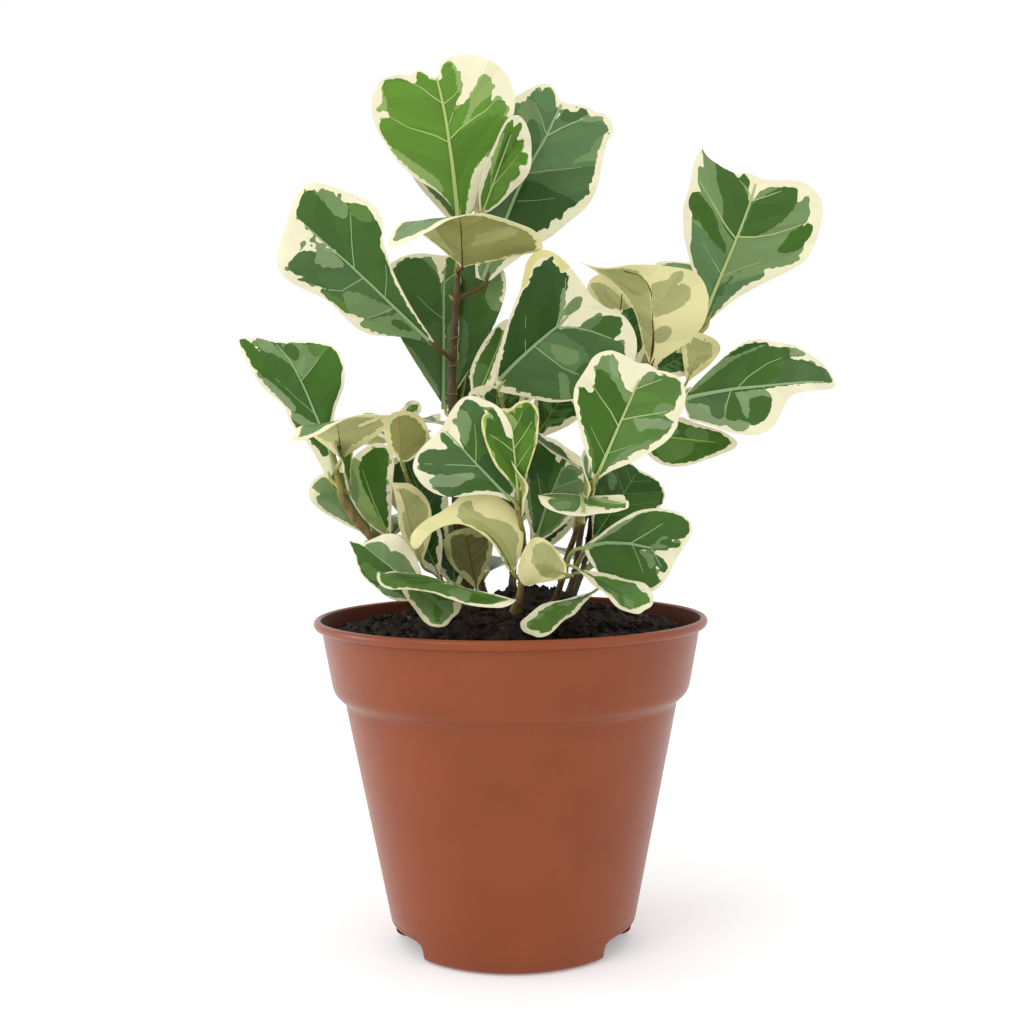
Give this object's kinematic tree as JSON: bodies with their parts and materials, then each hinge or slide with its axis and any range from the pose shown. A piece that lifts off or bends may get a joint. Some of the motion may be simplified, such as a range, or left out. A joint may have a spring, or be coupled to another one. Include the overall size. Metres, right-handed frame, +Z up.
{
  "type": "potted triangle fig",
  "caption": "Bushy fig plant with wedge-shaped leaves edged in cream, standing in a tapered round plastic nursery pot filled with soil.",
  "frame": {"origin": "centre of the pot's flat underside, where it stands on the table", "axes": "+Z up along the pot's axis, +X to the right and -Y towards the front, as the picture shows the plant"},
  "size_m": [0.2275, 0.1609, 0.3371],
  "materials": {
    "plastic": "terracotta-coloured moulded plastic, satin",
    "earth": "dark moist potting mix, rough and crumbly",
    "bark": "thin brown bark, slightly rough",
    "foliage": "smooth leathery leaves, green and grey-green with cream margins"
  },
  "bodies": {
    "root": {"leaves_back_left_low": "foliage", "leaves_back_left_tip": "foliage", "leaves_back_right_low": "foliage", "leaves_back_right_tip": "foliage", "leaves_centre_low": "foliage", "leaves_centre_tip": "foliage", "leaves_front_low": "foliage", "leaves_front_tip": "foliage", "leaves_heart": "foliage", "leaves_heart_low": "foliage", "leaves_inner_low": "foliage", "leaves_inner_tip": "foliage", "leaves_left_low": "foliage", "leaves_left_tip": "foliage", "leaves_low_left": "foliage", "leaves_main_middle": "foliage", "leaves_right_low": "foliage", "leaves_right_middle": "foliage", "leaves_right_tip": "foliage", "leaves_right_upper": "foliage", "leaves_top": "foliage", "leaves_top_side": "foliage", "leaves_upper_left": "foliage", "pot": "plastic", "soil": "earth", "stem_back_left": "bark", "stem_back_right": "bark", "stem_centre": "bark", "stem_centre_back": "bark", "stem_left": "bark", "stem_left_inner": "bark", "stem_low_left": "bark", "stem_main": "bark", "stem_right_back": "bark", "stem_right_front": "bark"}
  },
  "joints": []
}
